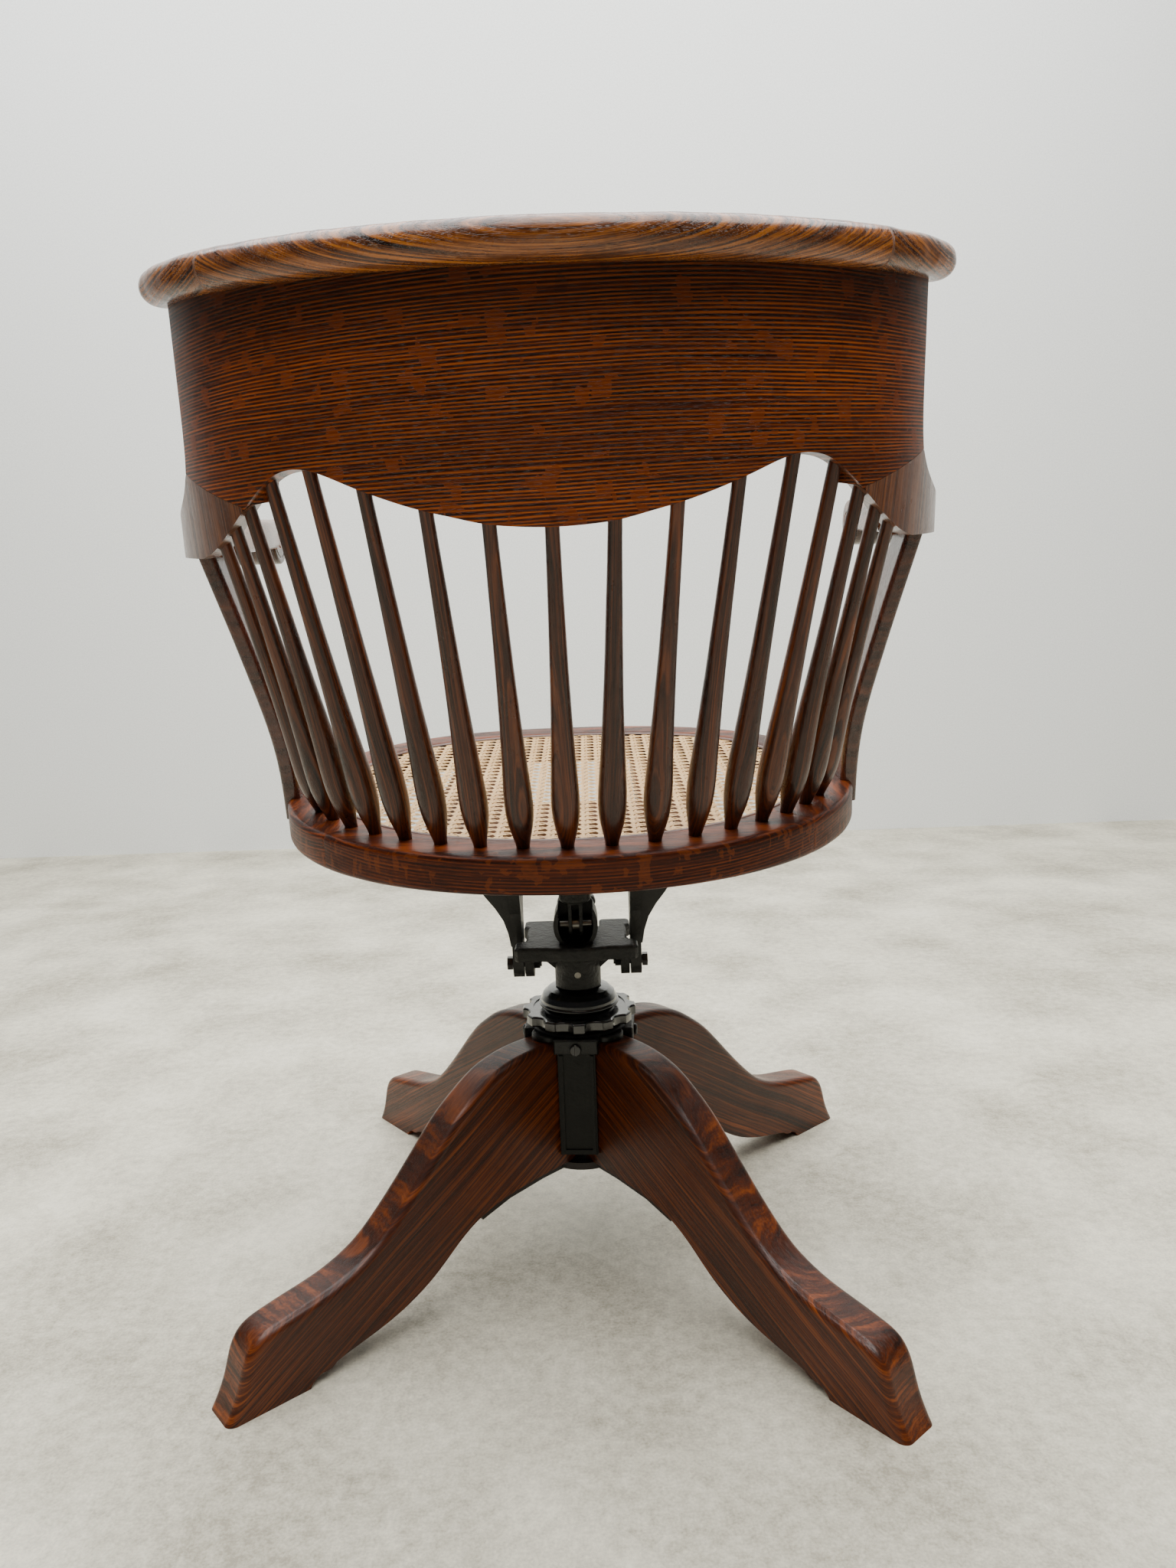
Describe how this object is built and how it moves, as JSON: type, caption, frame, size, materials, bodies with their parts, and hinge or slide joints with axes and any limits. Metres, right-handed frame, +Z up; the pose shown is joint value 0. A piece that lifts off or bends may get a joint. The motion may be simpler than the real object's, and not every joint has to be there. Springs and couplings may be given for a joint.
{
  "type": "swivel chair",
  "caption": "Oak desk armchair with spindled horseshoe back and caned seat on a screw-height, tilting swivel base with four wooden legs.",
  "frame": {"origin": "on the floor, under the middle of the chair's overall box; the swivel axis stands 36.5 mm in front of it, at x 0", "axes": "+Z up, the chair's front faces -Y and its back is towards +Y, +X is to the right seen from behind and above with the front away"},
  "size_m": [0.6472, 0.6434, 0.8247],
  "materials": {
    "oak_base": "dark stained oak, semi-gloss varnish",
    "oak_rough": "planed oak, thin stain",
    "oak_spindles": "very dark stained turned oak, gloss varnish",
    "oak_figured": "dark stained quarter-sawn oak, semi-gloss varnish",
    "oak_posts": "dark stained oak, semi-gloss varnish",
    "cane": "woven rattan cane, satin",
    "reed_spline": "stained reed spline",
    "dowel_beech": "plain beech",
    "bare_steel": "bare oiled steel",
    "blackened_steel": "blackened steel screws",
    "black_iron": "cast iron, gloss black paint"
  },
  "bodies": {
    "seat": {"arm_left": "oak_figured", "arm_post_left": "oak_posts", "arm_post_right": "oak_posts", "arm_right": "oak_figured", "back_board": "oak_figured", "bracket_screws": "blackened_steel", "cane_seat": "cane", "cane_spline": "reed_spline", "centre_rail": "oak_rough", "crest_dowels": "dowel_beech", "crest_rail": "oak_figured", "cross_rail_left": "oak_rough", "cross_rail_right": "oak_rough", "finger_screws": "blackened_steel", "rail_screws": "blackened_steel", "seat_bracket_left": "black_iron", "seat_bracket_right": "black_iron", "seat_hoop": "oak_figured", "spindle_01": "oak_spindles", "spindle_02": "oak_spindles", "spindle_03": "oak_spindles", "spindle_04": "oak_spindles", "spindle_05": "oak_spindles", "spindle_06": "oak_spindles", "spindle_07": "oak_spindles", "spindle_08": "oak_spindles", "spindle_09": "oak_spindles", "spindle_10": "oak_spindles", "spindle_11": "oak_spindles", "spindle_12": "oak_spindles", "spindle_13": "oak_spindles", "spindle_14": "oak_spindles", "spindle_15": "oak_spindles", "spindle_16": "oak_spindles", "spindle_17": "oak_spindles", "tilt_finger": "black_iron"},
    "base": {"base_cross": "black_iron", "base_cross_screws": "blackened_steel", "cover_plates": "black_iron", "cover_screws": "blackened_steel", "hub_casting": "black_iron", "leg_front_left": "oak_base", "leg_front_right": "oak_base", "leg_rear_left": "oak_base", "leg_rear_right": "oak_base"},
    "yoke": {"coil_spring": "bare_steel", "dust_cap": "black_iron", "pivot_bolts": "blackened_steel", "pivot_nuts": "blackened_steel", "spindle_pin": "bare_steel", "threaded_spindle": "bare_steel", "yoke_casting": "black_iron"},
    "handwheel": {"handwheel_nut": "black_iron"},
    "tension_rod": {"rod_cross_pin": "bare_steel", "tension_rod": "bare_steel"},
    "spring_washer": {"spring_washer": "bare_steel"},
    "tension_knob": {"tension_knob": "black_iron"},
    "thrust_washer": {"thrust_washer": "bare_steel"}
  },
  "joints": [
    {"name": "swivel", "type": "hinge", "parent": "base", "child": "thrust_washer", "pos_m": [0, -0.03651, 0.2155], "axis": [0, 0, 1], "continuous": true},
    {"name": "seat_height", "type": "slide", "parent": "thrust_washer", "child": "yoke", "axis": [0, 0, 1], "range_m": [0, 0.08]},
    {"name": "handwheel_turn", "type": "hinge", "parent": "thrust_washer", "child": "handwheel", "pos_m": [0, -0.03651, 0.223], "axis": [0, 0, 1], "range_deg": [-3600, 0]},
    {"name": "tilt", "type": "hinge", "parent": "yoke", "child": "seat", "pos_m": [0, -0.03651, 0.27], "axis": [-1, 0, 0], "range_deg": [0, 10], "stiffness_Nm_per_rad": 260, "springref_deg": -3.44},
    {"name": "rod_pull", "type": "slide", "parent": "yoke", "child": "tension_rod", "axis": [0, 1, 0], "range_m": [0, 0.0085], "deforming": ["coil_spring"]},
    {"name": "tension_travel", "type": "slide", "parent": "tension_rod", "child": "spring_washer", "axis": [0, 1, 0], "range_m": [-0.004, 0.004]},
    {"name": "tension_knob_turn", "type": "hinge", "parent": "spring_washer", "child": "tension_knob", "pos_m": [0, -0.08451, 0.312], "axis": [0, 1, 0], "range_deg": [-720, 720]}
  ],
  "couplings": [
    {"joint": "handwheel_turn", "follows": "seat_height", "rad_per_m": -785.4},
    {"joint": "rod_pull", "follows": "tilt", "m_per_rad": 0.0445},
    {"joint": "tension_knob_turn", "follows": "tension_travel", "rad_per_m": 3141.6}
  ]
}
